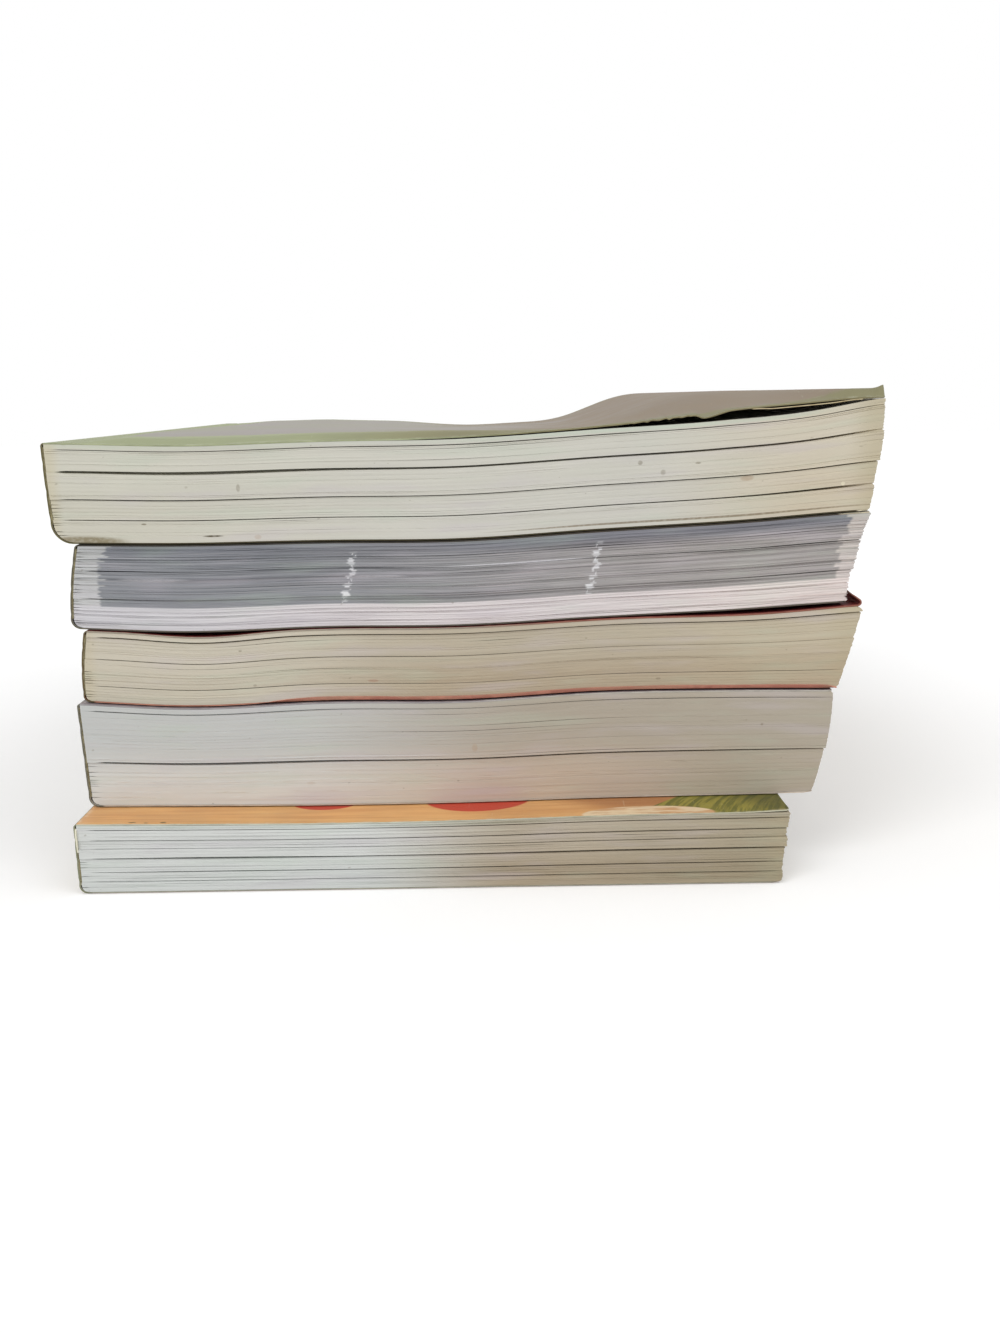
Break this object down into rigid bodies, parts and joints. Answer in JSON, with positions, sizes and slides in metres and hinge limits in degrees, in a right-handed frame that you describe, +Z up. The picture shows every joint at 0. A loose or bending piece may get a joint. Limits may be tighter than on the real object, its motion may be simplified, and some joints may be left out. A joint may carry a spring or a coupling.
{
  "type": "stack of books",
  "caption": "Stack of used paperback textbooks lying flat, with wavy page blocks, glued spines, card covers and a top front cover that opens.",
  "frame": {"origin": "middle of the footprint of the whole stack, on the surface that the stack lies on", "axes": "+Z up through the stack; +X from the spines towards the fore edges; +Y from the tail edges of the pages towards their head edges"},
  "size_m": [0.217, 0.2974, 0.1255],
  "materials": {
    "book_1_pages": "matte uncoated paper edge",
    "book_2_pages": "matte uncoated paper edge",
    "book_3_pages": "matte uncoated paper edge",
    "book_4_pages": "matte paper edge with a grey printed bleed",
    "book_5_pages": "matte uncoated paper edge",
    "book_1_card": "satin laminated card",
    "book_2_card": "satin laminated card",
    "book_3_card": "satin laminated card",
    "book_4_card": "satin laminated card",
    "book_5_card": "satin laminated card",
    "spine_glue": "set hot-melt adhesive, dull cream"
  },
  "bodies": {
    "stack": {"book_1_page_block": "book_1_pages", "book_1_spine_glue": "spine_glue", "book_1_cover": "book_1_card", "book_2_page_block": "book_2_pages", "book_2_spine_glue": "spine_glue", "book_2_cover": "book_2_card", "book_3_page_block": "book_3_pages", "book_3_spine_glue": "spine_glue", "book_3_cover": "book_3_card", "book_4_page_block": "book_4_pages", "book_4_spine_glue": "spine_glue", "book_4_cover": "book_4_card", "book_5_page_block": "book_5_pages", "book_5_spine_glue": "spine_glue", "book_5_back_cover_and_spine": "book_5_card"},
    "front_cover": {"book_5_front_cover": "book_5_card"}
  },
  "joints": [
    {"name": "front_cover_hinge", "type": "hinge", "parent": "stack", "child": "front_cover", "pos_m": [-0.10255, 0.00901, 0.11461], "axis": [0, -1, 0], "range_deg": [0, 180]}
  ]
}
